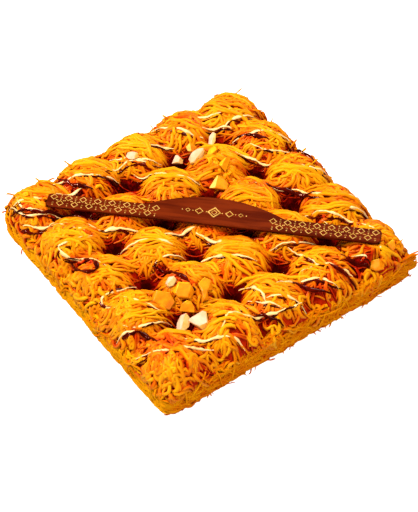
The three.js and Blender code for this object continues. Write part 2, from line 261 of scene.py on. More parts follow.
# %% The middles of the mounds, as the height map has them
MOUND_CAP = 8.0
mound_middles = []
for i in range(MOUNDS):
    for j in range(MOUNDS):
        x0 = (i + 0.5) * PITCH - HALF
        y0 = (j + 0.5) * PITCH - HALF
        near = (abs(grid_x - x0) < PITCH / 2) & (abs(grid_y - y0) < PITCH / 2)
        top = near & (smooth > smooth[near].max() - MOUND_CAP)
        mound_middles.append((grid_x[top].mean(), grid_y[top].mean()))
print(len(mound_middles), "mounds, the first at", np.round(mound_middles[0], 1))

# %% [markdown]
# Drizzle was piped from side to side in loose strokes, first dark chocolate sauce and
# then white. A stroke is a short list of turning points on the slab, seen from above.
# Its height comes from a height map, so it drapes over each mound that it crosses.
# The lists come first, because the sauce also stains the strands round it.

# %% Turning points of the strokes
CREAM_STROKES = [
    [(-112, -124), (-99, -123), (-92, -113), (-80, -100)],
    [(-112, -121), (-104, -110)],
    [(-40, -98), (-42, -112), (-47, -125), (-33, -122), (-23, -108), (-4, -102)],
    [(26, -78), (24, -97), (20, -112), (20, -124), (32, -122)],
    [(74, -88), (71, -104), (68, -118)],
    [(69, -119), (62, -130)],
    [(95, -126), (104, -118), (112, -104), (119, -84)],
    [(105, -89), (114, -70), (124, -56), (131, -53)],
    [(113, -36), (116, -22), (123, -12), (126, 6)],
    [(107, -9), (116, 3), (126, 12)],
    [(102, 13), (106, 26), (113, 40), (124, 45)],
    [(102, 42), (111, 54), (124, 66)],
    [(117, 85), (125, 100), (118, 104), (110, 97)],
    [(64, 36), (77, 65)],
    [(39, -23), (48, -15), (62, 3)],
    [(16, -58), (24, -32)],
    [(-2, -40), (3, -17)],
    [(10, -14), (30, -6)],
    [(-115, -78), (-107, -62), (-97, -46), (-90, -32)],
    [(-102, -32), (-97, -13), (-85, 6)],
    [(-80, -12), (-58, 4), (-45, 21)],
    [(-65, 86), (-54, 104), (-38, 121)],
    [(-4, 63), (20, 92), (40, 98), (56, 119)],
    [(52, 82), (73, 101), (93, 109)],
    [(-113, -127), (-94, -124), (-89, -113)],
    [(-89, -126), (-79, -117)],
    [(-70, -108), (-53, -100)],
    [(-45, -80), (-37, -66), (-29, -59)],
    [(-15, -74), (-6, -63), (3, -48)],
    [(72, -40), (75, -15), (100, -11)],
    [(81, 45), (98, 44)],
    [(43, -107), (58, -96)],
    [(-100, -87), (-96, -68)],
    [(-106, 71), (-96, 90)],
    [(-93, 68), (-85, 85)],
    [(-124, 27), (-108, 39), (-91, 50)],
    [(-101, 12), (-98, 26)],
    [(-106, -19), (-94, -5)],
    [(-85, 91), (-82, 107)],
    [(-39, 93), (-27, 111)],
    [(-45, 77), (-31, 88)],
    [(4, 104), (13, 120)],
    [(71, 86), (94, 92)],
    [(106, -52), (105, -37)],
    [(105, -18), (117, -10)],
    [(67, 109), (73, 124)],
]
DARK_STROKES = [
    [(-28, -116), (-25, -110), (-11, -108), (-1, -111), (-3, -119), (-18, -121), (-29, -120)],
    [(-93, -117), (-86, -106), (-81, -94), (-62, -85)],
    [(66, -125), (72, -117), (90, -113)],
    [(73, 76), (79, 80), (96, 77)],
    [(111, 74), (118, 80), (126, 87)],
    [(110, 22), (119, 29), (127, 37)],
    [(117, -23), (125, -18), (130, -12)],
    [(-116, -130), (-112, -130), (-106, -126), (-97, -120)],
    [(-92, -130), (-85, -127), (-79, -122)],
    [(-1, 65), (11, 82), (31, 95)],
    [(-90, -42), (-86, -32), (-63, -31)],
    [(23, -63), (41, -59), (58, -55)],
    [(113, 53), (125, 60), (129, 65)],
    [(-67, 87), (-57, 93), (-47, 99)],
    [(-30, 119), (-1, 122)],
    [(-120, -75), (-104, -72), (-93, -64)],
]
PLAN_STEP = 2.0


def even_out(row, times):
    """Smooth a row of values or points, and hold its two ends."""
    for _ in range(times):
        row[1:-1] = 0.25 * row[:-2] + 0.5 * row[1:-1] + 0.25 * row[2:]
    return row


def plan_of(stroke):
    """A smooth run of points on the slab through a stroke's turning points."""
    corners = np.array(stroke, float)
    lengths = np.concatenate([[0], np.cumsum(np.linalg.norm(np.diff(corners, axis=0), axis=1))])
    run = np.linspace(0, lengths[-1], max(5, int(lengths[-1] / PLAN_STEP)))
    return even_out(np.stack([np.interp(run, lengths, corners[:, c]) for c in (0, 1)], 1), 6)


# %% [markdown]
# Sauce soaked into the pastry beside the dark strokes and pooled in the pits between
# the mounds. The pits are painted darker the deeper they are, partly as sauce and partly
# as painted shade. Painted shadow lies under and beside the plaque, and painted shade
# in the holes between the curls at the slab's front corner. A map holds how much, from
# 0 to 1. A second map holds painted shade in the valleys. What comes from strokes, pits
# and valleys fades out near the rim.

# %% Sauce stains and painted shade
STAIN_REACH = 5.5
STAIN_DEPTH = 0.85
BAR_SHADOW = 0.55
PIT_LEVEL, PIT_SPAN = 33.0, 9.0
PIT_EDGE = 26.0
VALLEY_LEVEL, VALLEY_SPAN = 37.0, 14.0
RIM_CLEAR, RIM_FADE = 8, 6
HOLES, HOLES_REACH, HOLE_SHADE_DEPTH = (104, -112), 17, 0.75
stain = np.zeros_like(smooth)
for stroke in DARK_STROKES:
    for x, y in plan_of(stroke):
        far = np.hypot(grid_x - x, grid_y - y)
        stain = np.maximum(stain, np.exp(-(far / STAIN_REACH) ** 2))
inside = np.clip((margin(grid_x, grid_y) - RIM_CLEAR) / RIM_FADE, 0, 1)
sauce_and_shade = np.maximum(stain * STAIN_DEPTH, np.clip((PIT_LEVEL - smooth) / PIT_SPAN, 0, 1)) * inside
# Painted shadow of the plaque on the strands under it and beside it.
sauce_and_shade = np.maximum(sauce_and_shade, BAR_SHADOW * np.roll(bar_shadow, (1, -1), (0, 1)))
# Painted shade in the holes between the curls at the front corner.
from_holes = (grid_x - HOLES[0]) ** 2 + (grid_y - HOLES[1]) ** 2
sauce_and_shade = np.maximum(sauce_and_shade, HOLE_SHADE_DEPTH * np.exp(-from_holes / HOLES_REACH ** 2))
# Painted shade in the valleys between the mounds.
shadowed = np.clip((VALLEY_LEVEL - smooth) / VALLEY_SPAN, 0, 1) * inside
for name, x, y in (("mound", 0, 0), ("saddle", PITCH / 2, 0), ("pit", PITCH / 2, PITCH / 2)):
    print("height at a", name, round(float(crust(x, y)), 1))

# %% [markdown]
# Materials and Geometry Nodes trees are both built from nodes and wires. A few helpers
# keep that short: one makes a node with its settings, one wires nodes in a row, and
# the others set values or make a tree's own inputs and outputs.

# %% Helpers for node trees
def fill(node, values):
    for key, value in values.items():
        node.inputs[key].default_value = value


def put(tree, kind, values=None, **settings):
    """Make a node, with its settings and with values on its unwired inputs."""
    node = tree.nodes.new(kind)
    for key, value in settings.items():
        setattr(node, key, value)
    fill(node, values or {})
    return node


def chain(tree, *parts):
    """Wire nodes in a row. The text between two nodes names an output and an input."""
    for start, names, end in zip(parts[::2], parts[1::2], parts[2::2]):
        output, key = names.split(">")
        tree.links.new(start.outputs[output], end.inputs[int(key) if key.isdigit() else key])


def new_input(tree, name, kind, value=None):
    socket = tree.interface.new_socket(name=name, in_out="INPUT", socket_type="NodeSocket" + kind)
    if value is not None:
        socket.default_value = value
    return socket.identifier


def new_output(tree, name, kind):
    tree.interface.new_socket(name=name, in_out="OUTPUT", socket_type="NodeSocket" + kind)


# %% [markdown]
# Most of the surfaces here share one kind of unevenness: a soft cloud of colour and a
# fine grain. It is one node group with a scale, which every material places with its
# own value. Object coordinates keep the pattern still wherever the camera goes.

# %% The shared grain
GRAIN_PER_CLOUD = 7.0


def grain_group():
    group = bpy.data.node_groups.new("cloud_and_grain", "ShaderNodeTree")
    new_input(group, "Scale", "Float", 100.0)
    new_output(group, "Cloud", "Float")
    new_output(group, "Grain", "Float")
    start = put(group, "NodeGroupInput")
    end = put(group, "NodeGroupOutput")
    place = put(group, "ShaderNodeTexCoord")
    finer = put(group, "ShaderNodeMath", {1: GRAIN_PER_CLOUD}, operation="MULTIPLY")
    chain(group, start, "Scale>0", finer)
    for output, source, size in (("Cloud", start, "Scale"), ("Grain", finer, "Value")):
        noise = put(group, "ShaderNodeTexNoise", {"Detail": 3.0})
        chain(group, source, size + ">Scale", noise, "Fac>" + output, end)
        chain(group, place, "Object>Vector", noise)
    return group


GRAIN = grain_group()


def new_material(name, scale, bump, bump_depth):
    """A material with the shared grain as its bump. Its cloud is still free."""
    material = bpy.data.materials.new(name)
    material.use_nodes = True
    tree = material.node_tree
    tree.nodes.clear()
    shader = put(tree, "ShaderNodeBsdfPrincipled")
    output = put(tree, "ShaderNodeOutputMaterial")
    grain = put(tree, "ShaderNodeGroup", {"Scale": scale}, node_tree=GRAIN)
    relief = put(tree, "ShaderNodeBump", {"Strength": bump, "Distance": bump_depth})
    chain(tree, grain, "Grain>Height", relief, "Normal>Normal", shader, "BSDF>Surface", output)
    return material, tree, shader, grain


def ramp(tree, stops):
    node = put(tree, "ShaderNodeValToRGB")
    for element, (place, colour) in zip(node.color_ramp.elements, (stops[0], stops[-1])):
        element.position = place
        element.color = (*colour, 1)
    for place, colour in stops[1:-1]:
        node.color_ramp.elements.new(place).color = (*colour, 1)
    return node


# %% [markdown]
# Baked pastry is yellow-orange. Each point of a strand carries a shade between 0 and 1
# that picks the colour, from yellow-orange down to maroon, and darker points are
# glossier, as soaked strands are. That shade is lowered by real sauce stains and by
# painted shade: on lower strands, in the valleys, pits and gaps, and where a strand
# faces into the slab. More red in the gaps comes from light that bounces between orange
# strands, so the base colours stay on the yellow side.

# %% Baked pastry
BAKED = [
    (0.0, (0.020, 0.0003, 0.0002)),
    (0.15, (0.140, 0.0014, 0.0003)),
    (0.3, (0.240, 0.0085, 0.0003)),
    (0.45, (0.290, 0.0370, 0.0004)),
    (0.6, (0.335, 0.0710, 0.0005)),
    (0.8, (0.375, 0.1100, 0.0007)),
    (1.0, (0.405, 0.1520, 0.0012)),
]
CLOUDINESS = 0.4
PASTRY_GLOSS = (1.0, 0.70, 0.20, 1)


def pastry_material(name, scale, bump, shine, roughest):
    material, tree, shader, grain = new_material(name, scale, bump, 0.0004)
    shade = put(tree, "ShaderNodeAttribute", attribute_name="shade")
    cloud = put(tree, "ShaderNodeMath", {1: CLOUDINESS, 2: -CLOUDINESS / 2}, operation="MULTIPLY_ADD")
    total = put(tree, "ShaderNodeMath", operation="ADD", use_clamp=True)
    tint = ramp(tree, BAKED)
    span = {"From Min": 0.05, "From Max": 0.45, "To Min": 0.14, "To Max": roughest}
    gloss = put(tree, "ShaderNodeMapRange", span)
    chain(tree, grain, "Cloud>0", cloud, "Value>0", total, "Value>Fac", tint, "Color>Base Color", shader)
    chain(tree, shade, "Fac>1", total, "Value>Value", gloss, "Result>Roughness", shader)
    fill(shader, {"Specular IOR Level": shine, "Specular Tint": PASTRY_GLOSS})
    return material


PASTRY = pastry_material("baked_pastry", 70, 0.3, 0.20, 0.36)
DRY = pastry_material("pressed_pastry", 90, 0.4, 0.02, 0.9)
UNDER = pastry_material("soaked_pastry", 130, 0.9, 0.07, 0.36)

# %% [markdown]
# Sauce, white drizzle, almonds and chocolate each need two close colours that the
# cloud mixes, a roughness and some gloss. One function makes them all. The floor is
# made the same way and glows a little.

# %% Sauce, drizzle, almonds and chocolate
WARM_GLOSS = {"Specular Tint": (1.0, 0.45, 0.30, 1)}
LIT = {"Emission Color": (1, 1, 1, 1), "Emission Strength": 0.95}


def two_tone(name, dark, light, scale, roughness, specular, bump):
    material, tree, shader, grain = new_material(name, scale, bump, 0.0005)
    tint = ramp(tree, [(0.38, dark), (0.62, light)])
    chain(tree, grain, "Cloud>Fac", tint, "Color>Base Color", shader)
    fill(shader, {"Roughness": roughness, "Specular IOR Level": specular})
    return material


SAUCE = two_tone("dark_sauce", (0.014, 0.0004, 0.0002), (0.046, 0.0012, 0.0003), 60, 0.10, 0.18, 0.15)
CREAM = two_tone("white_drizzle", (0.44, 0.235, 0.07), (0.49, 0.30, 0.12), 90, 0.32, 0.15, 0.15)
PALE = two_tone("blanched_almond", (0.39, 0.185, 0.09), (0.45, 0.24, 0.15), 110, 0.45, 0.12, 0.3)
GOLDEN = two_tone("glazed_almond", (0.43, 0.165, 0.001), (0.49, 0.22, 0.006), 160, 0.34, 0.08, 0.3)
ALMOND_SHADE = two_tone("almond_painted_shade", (0.32, 0.076, 0.0006), (0.39, 0.115, 0.001), 160, 0.34, 0.08, 0.3)
PALE_ALMOND_SHADE = two_tone("pale_almond_painted_shade", (0.42, 0.17, 0.02), (0.46, 0.27, 0.09), 120, 0.45, 0.15, 0.3)
CHOCOLATE = two_tone("plaque_chocolate", (0.034, 0.0026, 0.0003), (0.068, 0.007, 0.0008), 30, 0.4, 0.1, 0.2)
# Darker, glossier chocolate for the plaque's sides; the darkness is painted shade.
PLAQUE_SIDE_SHADE = two_tone("plaque_side_painted_shade", (0.012, 0.0004, 0.0002), (0.055, 0.0018, 0.0004), 120, 0.14, 0.14, 0.6)
GOLD = two_tone("gold_print", (0.24, 0.115, 0.015), (0.34, 0.18, 0.038), 250, 0.42, 0.1, 0.2)
FLOOR = two_tone("white_floor", (0.28, 0.28, 0.28), (0.30, 0.30, 0.30), 2, 0.9, 0.1, 0.0)
for material, values in (
    (SAUCE, WARM_GLOSS),
    (PLAQUE_SIDE_SHADE, WARM_GLOSS),
    (CHOCOLATE, {"IOR": 1.15}),
    (DRY, {"IOR": 1.15}),
    (PASTRY, {"IOR": 1.3}),
    (FLOOR, LIT),
):
    fill(material.node_tree.nodes["Principled BSDF"], values)

# %% [markdown]
# The plaque was smoothed with a palette knife, which left streaks along the bar. Its
# cloud is therefore stretched: a Mapping node turns the pattern onto the diagonal, the
# next node squeezes it along the bar, and the stretched noise takes the place of the
# round one.

# %% Streaks along the plaque
STREAK_SCALE = 190
STREAK_SQUEEZE = 0.12


def streak(tree):
    place = put(tree, "ShaderNodeTexCoord")
    turned = put(tree, "ShaderNodeMapping", {"Rotation": (0, 0, -DIAGONAL)}, vector_type="POINT")
    squeezed = put(tree, "ShaderNodeVectorMath", {1: (STREAK_SQUEEZE, 1, 1)}, operation="MULTIPLY")
    noise = put(tree, "ShaderNodeTexNoise", {"Scale": STREAK_SCALE, "Detail": 4.0})
    chain(tree, place, "Object>Vector", turned, "Vector>0", squeezed, "Vector>Vector", noise)
    chain(tree, noise, "Fac>Fac", tree.nodes["Color Ramp"])


streak(CHOCOLATE.node_tree)

# %% [markdown]
# Every strand starts as a polyline, a row of points in an array. Hair curves or a
# particle system would be lost in an export, so one Geometry Nodes tree sweeps all
# the lines into plain tubes: it smooths them, lays even points along them, crinkles
# them a little with noise, and sweeps a slightly flattened ring along each one.

# %% Starting and ending a Geometry Nodes tree
def new_tree(name, numbers):
    """A tree with named inputs. The modifier needs each input's identifier."""
    tree = bpy.data.node_groups.new(name, "GeometryNodeTree")
    names = {"Geometry": new_input(tree, "Geometry", "Geometry")}
    for key, value in numbers.items():
        names[key] = new_input(tree, key, "Int" if isinstance(value, int) else "Float", value)
    names["Material"] = new_input(tree, "Material", "Material")
    new_output(tree, "Geometry", "Geometry")
    return tree, names, put(tree, "NodeGroupInput")


def end_tree(tree, start, last, names):
    """Make instances real, because the export drops them, and give out the material."""
    realize = put(tree, "GeometryNodeRealizeInstances")
    paint = put(tree, "GeometryNodeSetMaterial")
    end = put(tree, "NodeGroupOutput")
    chain(tree, last, names, realize, "Geometry>Geometry", paint, "Geometry>Geometry", end)
    chain(tree, start, "Material>Material", paint)


def run_tree(name, mesh, made, values):
    """Run a tree on a mesh and keep the result as a plain mesh."""
    tree, names = made
    source = bpy.data.objects.new(name, mesh)
    modifier = source.modifiers.new(tree.name, "NODES")
    modifier.node_group = tree
    for key, value in values.items():
        modifier[names[key]] = value
    scene.collection.objects.link(source)
    graph = bpy.context.evaluated_depsgraph_get()
    result = bpy.data.meshes.new_from_object(source.evaluated_get(graph))
    bpy.data.objects.remove(source)
    return result


# %% The tree that sweeps strands
def strand_tree():
    numbers = {"Step": 0.003, "Sides": 6, "Flatness": 0.8, "Crinkle": 0.001, "Crinkle Scale": 160.0}
    tree, names, start = new_tree("sweep_strands", numbers)
    curve = put(tree, "GeometryNodeMeshToCurve")
    kind = put(tree, "GeometryNodeCurveSplineType", spline_type="CATMULL_ROM")
    resample = put(tree, "GeometryNodeResampleCurve", mode="LENGTH")
    moved = put(tree, "GeometryNodeSetPosition")
    place = put(tree, "GeometryNodeInputPosition")
    wave = put(tree, "ShaderNodeTexNoise")
    centred = put(tree, "ShaderNodeVectorMath", {1: (0.5, 0.5, 0.5)}, operation="SUBTRACT")
    scaled = put(tree, "ShaderNodeVectorMath", operation="SCALE")
    circle = put(tree, "GeometryNodeCurvePrimitiveCircle", {"Radius": 1.0})
    flat = put(tree, "ShaderNodeCombineXYZ", {"X": 1.0, "Z": 1.0})
    squeeze = put(tree, "GeometryNodeTransform")
    thick = put(tree, "GeometryNodeInputNamedAttribute", {"Name": "thick"}, data_type="FLOAT")
    sweep = put(tree, "GeometryNodeCurveToMesh", {"Fill Caps": True})
    soft = put(tree, "GeometryNodeSetShadeSmooth")
    chain(tree, start, "Geometry>Mesh", curve, "Curve>Curve", kind, "Curve>Curve", resample)
    chain(tree, resample, "Curve>Geometry", moved, "Geometry>Curve", sweep, "Mesh>Geometry", soft)
    chain(tree, place, "Position>Vector", wave, "Color>0", centred)
    chain(tree, centred, "Vector>0", scaled, "Vector>Offset", moved)
    chain(tree, circle, "Curve>Geometry", squeeze, "Geometry>Profile Curve", sweep)
    chain(tree, start, "Step>Length", resample)
    chain(tree, start, "Crinkle Scale>Scale", wave)
    chain(tree, start, "Crinkle>Scale", scaled)
    chain(tree, start, "Sides>Resolution", circle)
    chain(tree, start, "Flatness>Y", flat, "Vector>Scale", squeeze)
    chain(tree, thick, "Attribute>Scale", sweep)
    end_tree(tree, start, soft, "Geometry>Geometry")
    return tree, names


SWEEP = strand_tree()

# %% [markdown]
# A line is a small record: its points, its thickness and its shade, the last two with
# one value a point. The helpers below give a line its taper, keep it under the plaque
# and the almonds and inside the solids' box, and darken it where sauce soaked in and
# with painted shade in the valleys, the pits, under the plaque and round the corner holes.

# %% One line
TOUCH = 1.05
ROOM_BELOW = np.array([0.7, 0.7, 0.15])
ROOM_ABOVE = np.array([0.7, 0.7, 0.6])
RIM_BAND = 9
LID_DEPTH = 6
IN_SHADOW = 0.22
IN_SAUCE_AND_SHADE = 0.72


def longest_run(keep):
    """The longest unbroken run of True values, as a slice."""
    edges = np.flatnonzero(np.diff(np.concatenate([[0], keep.astype(int), [0]])))
    if len(edges) == 0:
        return slice(0, 0)
    best = np.argmax(edges[1::2] - edges[::2])
    return slice(edges[2 * best], edges[2 * best + 1])


def off_the_pits(x, y):
    """True where a strand may lie: on the mounds and near the rim, not down in a pit."""
    return (crust(x, y) > PIT_EDGE) | (margin(x, y) < RIM_BAND)


def tips(count, power):
    """Almost nothing along a line, and 1 at its two ends."""
    return np.abs(np.linspace(-1, 1, count)) ** power


def strand(points, width, tone, taper=0.5, darken=True):
    """Points in millimetres; width is the strand's radius; tone its shade from 0 to 1."""
    x, y, z = points.T
    count = len(points)
    uneven = 1 + 0.16 * np.sin(np.arange(count) * rng.uniform(0.5, 1.6) + rng.uniform(0, 6))
    thick = width * uneven * (1 - (1 - taper) * tips(count, 6))
    lid = sample(ceiling, x, y) - thick * TOUCH
    z = np.where(z > crust(x, y) - LID_DEPTH, np.minimum(z, lid), z)
    shade = tone + 0.07 * np.sin(np.linspace(0, rng.uniform(1, 6), count) + rng.uniform(0, 6))
    # Painted shade in valleys, pits, under the plaque and round the corner holes, and real sauce stains.
    if darken:
        shade = shade * (1 - IN_SHADOW * sample(shadowed, x, y)) * (1 - IN_SAUCE_AND_SHADE * sample(sauce_and_shade, x, y))
    room = (thick * TOUCH)[:, None]
    placed = np.clip(np.stack([x, y, z], 1), BOX_LOW + ROOM_BELOW + room, BOX_HIGH - ROOM_ABOVE - room)
    return placed, thick, shade


def several(count, make, *values):
    """Make so many strands, and leave out those that find no room."""
    made = [make(*values) for _ in range(count)]
    return [line for line in made if line]


# %% [markdown]
# A strand is painted lightest on its crown and redder and darker where it faces into
# the slab, as painted shade, which the shade of its line can't say. Once it is a tube,
# each of its corners knows which way it faces, and its shade is corrected from that.

# %% From lines to pieces
CROWN = 0.7
WALL_BLEND = 4


def mark(mesh, name, values):
    """Store one number for each point, for trees and materials to read."""
    mesh.attributes.new(name, "FLOAT", "POINT").data.foreach_set("value", np.asarray(values, np.float32))


def add_piece(name, mesh):
    mesh.name = name
    piece = bpy.data.objects.new(name, mesh)
    scene.collection.objects.link(piece)
    print(name, "has", sum(len(p.vertices) - 2 for p in mesh.polygons), "triangles")
    return piece


def paint_underside_shade(mesh, depth):
    place = np.empty(len(mesh.vertices) * 3, np.float32)
    mesh.vertices.foreach_get("co", place)
    facing = np.empty_like(place)
    mesh.vertex_normals.foreach_get("vector", facing)
    x, y, _ = place.reshape(-1, 3).T / MM
    slope_x = (crust(x + CELL, y) - crust(x - CELL, y)) / (2 * CELL)
    slope_y = (crust(x, y + CELL) - crust(x, y - CELL)) / (2 * CELL)
    outward = np.stack([-slope_x, -slope_y, np.ones_like(slope_x)], 1)
    outward /= np.linalg.norm(outward, axis=1)[:, None]
    at_wall = np.clip((WALL_BLEND - margin(x, y)) / WALL_BLEND, 0, 1)[:, None]
    radial = np.stack([x, y, np.zeros_like(x)], 1) / np.hypot(x, y)[:, None]
    outward = outward * (1 - at_wall) + radial * at_wall
    turned_out = (outward * facing.reshape(-1, 3)).sum(1)
    shade = np.empty(len(mesh.vertices), np.float32)
    mesh.attributes["shade"].data.foreach_get("value", shade)
    # Painted shade: lighter on the crown, darker where the tube faces into the slab.
    shade = shade + depth * (turned_out - CROWN)
    mesh.attributes["shade"].data.foreach_set("value", shade.astype(np.float32))


def sweep_lines(name, lines, material, step, sides, crinkle, flatness=0.85, depth=0.45):
    """Sweep lines into one piece; step and crinkle are in millimetres."""
    ends = np.cumsum([len(line[0]) for line in lines])
    firsts = np.setdiff1d(np.arange(ends[-1]), ends - 1)
    points = np.concatenate([line[0] for line in lines]) * MM
    mesh = bpy.data.meshes.new(name + "_lines")
    mesh.from_pydata(points.tolist(), np.stack([firsts, firsts + 1], 1).tolist(), [])
    mark(mesh, "thick", np.concatenate([line[1] for line in lines]) * MM)
    mark(mesh, "shade", np.concatenate([line[2] for line in lines]))
    values = {"Step": step * MM, "Sides": sides, "Flatness": flatness, "Crinkle": crinkle * MM}
    swept = run_tree(name + "_lines", mesh, SWEEP, {**values, "Material": material})
    if material in (PASTRY, DRY):
        paint_underside_shade(swept, depth)
    return add_piece(name, swept)


# %% [markdown]
# Under the strands lies the soaked pastry, a closed block that follows the height map
# a little lower. It shows in the gaps and in the pits, so it is painted dark there as
# painted shade: deep orange on the mounds, darker still with the painted shade of the
# valleys and pits and with sauce, down to dark glossy sauce at the bottom of the pits.

# %% The soaked core
CORE_CELLS = 180
CORE_DROP = 0.9
CORE_INSET = 0.9
CORE_RINGS = (RIM_LEVEL * 0.66, RIM_LEVEL * 0.33, 0.5)
CORE_TONE, CORE_SIDE_TONE = 0.26, 0.52


def soaked_core():
    side = np.linspace(-1, 1, CORE_CELLS + 1)
    gx, gy = np.meshgrid(side, side, indexing="ij")
    turn = np.arctan2(gy, gx)
    square = HALF / np.maximum(np.abs(np.cos(turn)), np.abs(np.sin(turn)))
    scale = (rim_at(gx, gy) - CORE_INSET) / square
    x = gx * HALF * scale
    y = gy * HALF * scale
    edge = np.maximum(np.abs(gx), np.abs(gy)) > 1 - 1.5 / CORE_CELLS
    z = crust(x, y) - CORE_DROP + np.where(edge, 0, rng.normal(0, 0.3, x.shape))
    z = np.where(edge, np.minimum(z, RIM_LEVEL), z)
    z = np.minimum(z, sample(ceiling, x, y) - 0.2)
    n = CORE_CELLS + 1
    points = np.stack([x, y, z], -1).reshape(-1, 3)
    # Painted shade: dark in the gaps, darker in valleys and pits, and real sauce stains.
    shade = CORE_TONE - 0.08 * sample(shadowed, x, y) - 0.20 * sample(sauce_and_shade, x, y)
    shade = (shade + rng.normal(0, 0.03, x.shape)).reshape(-1)
    low = (np.arange(CORE_CELLS)[:, None] * n + np.arange(CORE_CELLS)).reshape(-1)
    faces = np.stack([low, low + n, low + n + 1, low + 1], 1).tolist()
    run = np.arange(CORE_CELLS)
    far = CORE_CELLS - run
    loop = np.concatenate([run * n, CORE_CELLS * n + run, far * n + CORE_CELLS, far])
    upper = loop
    for level in CORE_RINGS:
        ring = points[loop].copy()
        ring[:, 2] = level
        lower = len(points) + np.arange(len(loop))
        points = np.concatenate([points, ring])
        shade = np.concatenate([shade, np.full(len(loop), CORE_SIDE_TONE)])
        faces += np.stack([upper, lower, np.roll(lower, -1), np.roll(upper, -1)], 1).tolist()
        upper = lower
    faces.append(upper[::-1].tolist())
    mesh = bpy.data.meshes.new("crust_core")
    mesh.from_pydata((points * MM).tolist(), [], faces)
    mark(mesh, "shade", shade)
    mesh.polygons.foreach_set("use_smooth", [True] * len(mesh.polygons))
    mesh.materials.append(UNDER)
    return add_piece("crust_core", mesh)


core = soaked_core()

# %% [markdown]
# Strands over the mounds. They were pulled over the puffs in one direction, so most
# run along the diagonal as arches, and draw together towards the hollows at both
# ends. They lie in bundles of two or three, side by side, with dark gaps between the
# bundles. A layer of single strands goes below them and fills the gaps. It is painted
# darker as painted shade under the bundles, and higher bundles are painted lighter.

# %% Arches over the mounds
MOUND_REACH = 29.0
BUNDLE_STEP = 2.7
BUNDLES = 8
LOWER_STRANDS = 20
SIDE_SWAY = 1.1
DROOP = 0.9
LEAST_POINTS = 5


def arch(middle, turn, offset, half, bend, phase, pinch):
    """Points of one arch seen from above, and how far past the rim they would be."""
    t = np.linspace(-1, 1, 15)
    heading = np.array([math.cos(turn), math.sin(turn)])
    aside = np.array([heading[1], -heading[0]])
    across = offset * (1 - pinch * t ** 2) + bend * (1 - t ** 2) + SIDE_SWAY * np.sin(t * 6 + phase)
    x, y = (np.array(middle) + np.outer(t * half, heading) + np.outer(across, aside)).T
    x, y, beyond = pull_in(x, y, 0.4)
    run = longest_run(off_the_pits(x, y))
    return x[run], y[run], beyond[run]


def lower_strand(middle):
    turn = DIAGONAL + rng.normal(0, 0.5)
    offset = rng.uniform(-1, 1) * MOUND_REACH
    half = math.sqrt(MOUND_REACH ** 2 - offset ** 2) * rng.uniform(0.7, 1.1) + 6
    x, y, beyond = arch(middle, turn, offset, half, rng.normal(0, 3), rng.uniform(0, 6), 0.15)
    if len(x) < LEAST_POINTS:
        return None
    z = crust(x, y) + rng.uniform(-0.7, 0.2) - beyond * DROOP
    width = STRAND * rng.uniform(0.9, 1.3)
    # The lower layer's tone is low: painted shade under the bundles.
    return strand(np.stack([x, y, z], 1), width, rng.uniform(0.28, 0.46))


def bundle(middle, place, layer, low, high):
    """Two or three strands side by side over a mound; a higher layer is painted lighter, a lower one darker
    as painted shade.
    """
    lines = []
    turn = DIAGONAL + rng.normal(0, 0.33)
    offset = MOUND_REACH * (-0.95 + 1.35 * (place + rng.random()) / BUNDLES)
    half = rng.uniform(14, 36) - 0.2 * abs(offset)
    bend = rng.normal(0, 2.5)
    phase = rng.uniform(0, 6)
    # Painted shade: the lower the layer, the darker the bundle.
    tone = 0.52 + 0.40 * layer + rng.normal(0, 0.11)
    members = int(rng.integers(2, 4))
    for m in range(members):
        side = (m - (members - 1) / 2) * BUNDLE_STEP + rng.normal(0, 0.3)
        reach = half * rng.uniform(0.85, 1.1)
        sway = phase + rng.normal(0, 0.8)
        x, y, beyond = arch(middle, turn + rng.normal(0, 0.14), offset + side, reach, bend, sway, 0.25)
        if len(x) < LEAST_POINTS:
            continue
        crown = 0.7 - 0.35 * abs(side)
        lift = low + (high - low) * layer + crown - 1.6 * tips(len(x), 6)
        width = STRAND * rng.uniform(1.1, 1.75)
        points = np.stack([x, y, crust(x, y) + lift - beyond * DROOP], 1)
        lines.append(strand(points, width, tone + rng.normal(0, 0.04)))
    return lines


upper = []
for middle in mound_middles:
    order = rng.permutation(BUNDLES)
    for place in range(BUNDLES):
        upper += bundle(middle, place, order[place] / (BUNDLES - 1), 0.2, 2.4)
lower = []
for middle in mound_middles:
    lower += several(LOWER_STRANDS, lower_strand, middle)
lower_piece = sweep_lines("strands_lower", lower, PASTRY, step=4.2, sides=5, crinkle=1.4)
upper_piece = sweep_lines("strands_upper", upper, PASTRY, step=2.8, sides=7, crinkle=3.6)

# %% [markdown]
# On the slopes fat short strands hang down from the crest like a fan, most of them on
# the side of the viewer. The outer faces of the border mounds have a tangle of loops
# as well: each is a walk over the height map whose heading turns all the time, which
# gives the curls without a simulation. The curls are tighter at the front corner and
# along the front left rim, and a few short strays lie on each mound.

# %% Fans on the slopes
FAN_FRONT, FAN_BACK = 25, 12
OVER_RIM_TONE = 0.85


